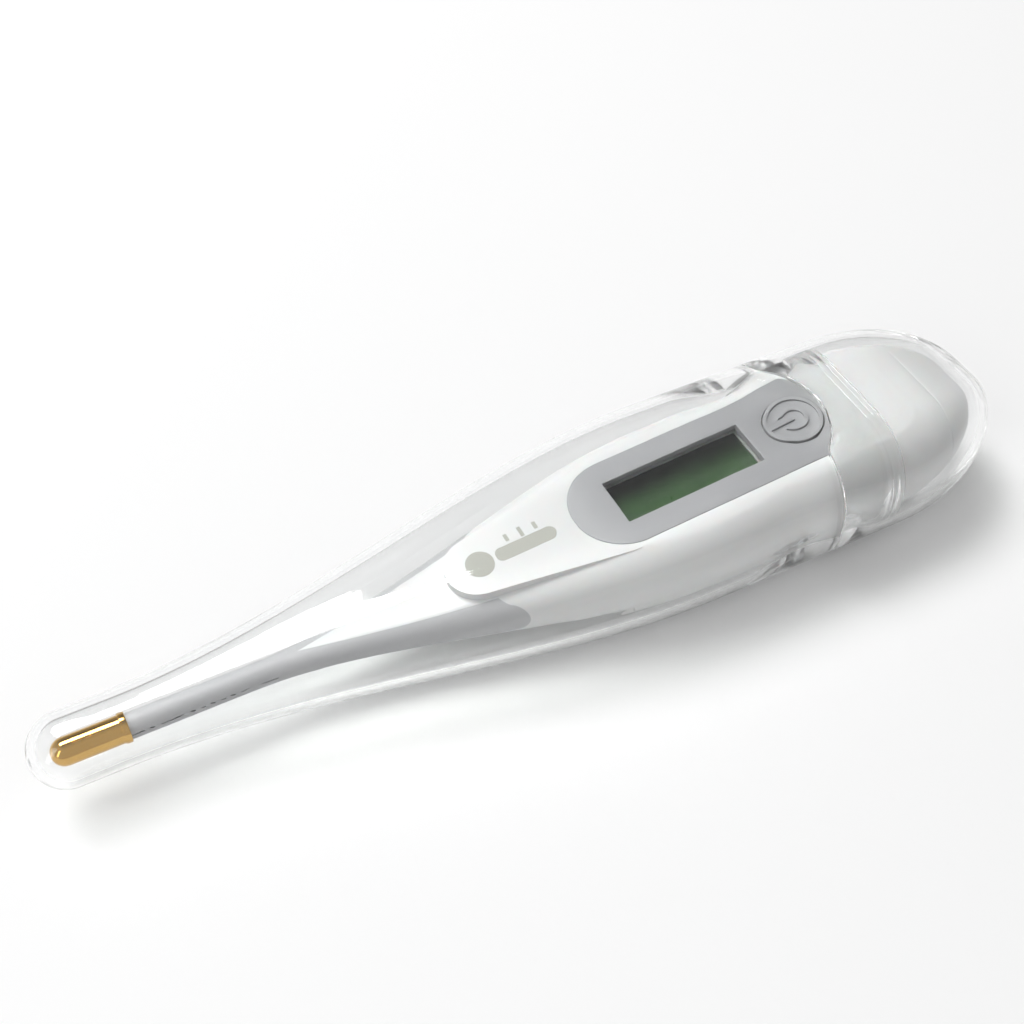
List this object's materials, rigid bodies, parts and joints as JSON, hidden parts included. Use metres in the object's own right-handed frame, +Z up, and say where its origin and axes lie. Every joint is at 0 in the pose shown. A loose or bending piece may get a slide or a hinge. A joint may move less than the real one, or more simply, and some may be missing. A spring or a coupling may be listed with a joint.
{
  "type": "digital thermometer",
  "caption": "Digital thermometer with a flexible grey probe and a metal tip, in a clear two-part travel case with a domed cap.",
  "frame": {"origin": "under the middle of the box of the cased thermometer, on the plane it lies on", "axes": "+X along the length towards the domed cap, with the probe tip at -X; +Y across; +Z up out of the sloping face with the display"},
  "size_m": [0.1474, 0.0312, 0.0216],
  "materials": {
    "clear_plastic": "clear moulded polystyrene, polished",
    "white_plastic": "moulded ABS, satin gloss",
    "grey_rubber": "soft moulded elastomer, satin",
    "black_rubber": "moulded silicone",
    "gold_metal": "gold coloured plating, polished",
    "dark_resin": "cured resin",
    "copper_wire": "enamelled copper",
    "spring_steel": "bright rolled",
    "brass_sheet": "rolled",
    "display_glass": "polarised display glass",
    "display_sheet": "green tinted reflector",
    "board_green": "solder mask"
  },
  "bodies": {
    "thermometer": {"main_housing": "white_plastic", "grip_sheath": "grey_rubber", "thermistor_leads": "copper_wire", "face_panel": "grey_rubber", "window_lens": "clear_plastic", "dome_switch": "spring_steel", "display_carrier": "white_plastic", "display_cell": "display_glass", "display_reflector": "display_sheet", "contact_strips": "black_rubber", "circuit_board": "board_green", "carrier_screws": "spring_steel", "controller_blob": "dark_resin", "timing_crystal": "spring_steel", "chip_parts": "dark_resin", "buzzer_plate": "brass_sheet", "buzzer_ceramic": "white_plastic", "buzzer_leads": "copper_wire", "battery_cell": "spring_steel", "battery_tray": "white_plastic", "contact_positive": "spring_steel", "contact_negative": "spring_steel"},
    "sleeve": {"case_sleeve": "clear_plastic"},
    "cap": {"case_cap": "clear_plastic"},
    "cover": {"battery_cover": "white_plastic", "cover_seal": "black_rubber"},
    "button": {"power_button": "grey_rubber"},
    "probe": {"probe_stem": "grey_rubber", "metal_tip": "gold_metal", "tip_potting": "dark_resin", "thermistor_bead": "dark_resin"}
  },
  "joints": [
    {"name": "sleeve_slide", "type": "slide", "parent": "thermometer", "child": "sleeve", "axis": [-1, 0, 0], "range_m": [0, 0.14]},
    {"name": "cap_slide", "type": "slide", "parent": "thermometer", "child": "cap", "axis": [1, 0, 0], "range_m": [0, 0.06]},
    {"name": "cover_slide", "type": "slide", "parent": "thermometer", "child": "cover", "axis": [1, 0, 0], "range_m": [0, 0.021]},
    {"name": "button_press", "type": "slide", "parent": "thermometer", "child": "button", "axis": [0.0872, 0, -0.9962], "range_m": [0, 0.0005], "stiffness_N_per_m": 3000, "deforming": ["dome_switch"]},
    {"name": "probe_flex", "type": "hinge", "parent": "thermometer", "child": "probe", "pos_m": [-0.0428, 0, 0.0083], "axis": [0, 1, 0], "range_deg": [-1.2, 2], "stiffness_Nm_per_rad": 0.02, "deforming": ["thermistor_leads"]}
  ],
  "couplings": [
    {"joint": "cover_slide", "follows": "cap_slide", "ratio": 0.35}
  ]
}
